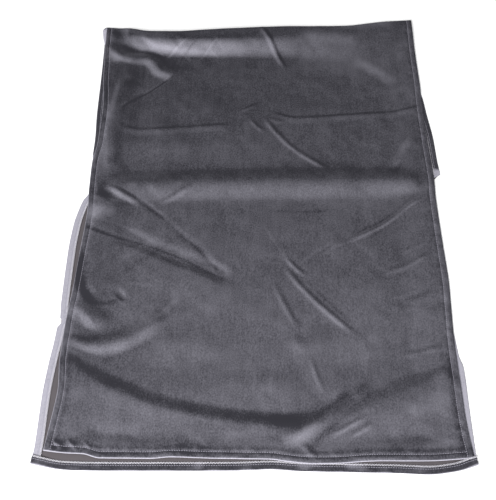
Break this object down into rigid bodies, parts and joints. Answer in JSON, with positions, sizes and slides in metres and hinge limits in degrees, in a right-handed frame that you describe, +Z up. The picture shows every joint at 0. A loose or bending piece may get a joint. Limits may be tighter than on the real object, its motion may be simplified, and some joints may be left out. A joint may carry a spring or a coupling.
{
  "type": "scarf",
  "caption": "Rectangular velvet scarf with narrow turned hems, folded in half across its length and lying flat, right side out, with a soft roll at the fold.",
  "frame": {"origin": "middle of the folded scarf's underside, on the surface that it lies on", "axes": "+X across the scarf, +Y along it from the loose ends to the fold, +Z up"},
  "size_m": [0.6286, 0.9394, 0.02],
  "materials": {
    "velvet_right_side": "grey velvet, soft pile with a sheen",
    "velvet_wrong_side": "plain woven back of the velvet, brownish grey, matt",
    "velvet_pale_nap": "grey velvet seen along its nap, pale",
    "velvet_dark_nap": "grey velvet seen against its nap, dark"
  },
  "bodies": {
    "root": {"upper_half": "velvet_right_side", "upper_left_hem": "velvet_right_side", "upper_right_hem": "velvet_right_side", "upper_end_hem": "velvet_right_side", "lower_half": "velvet_wrong_side", "lower_left_hem": "velvet_pale_nap", "lower_right_hem": "velvet_pale_nap", "lower_end_hem": "velvet_dark_nap"}
  },
  "joints": []
}
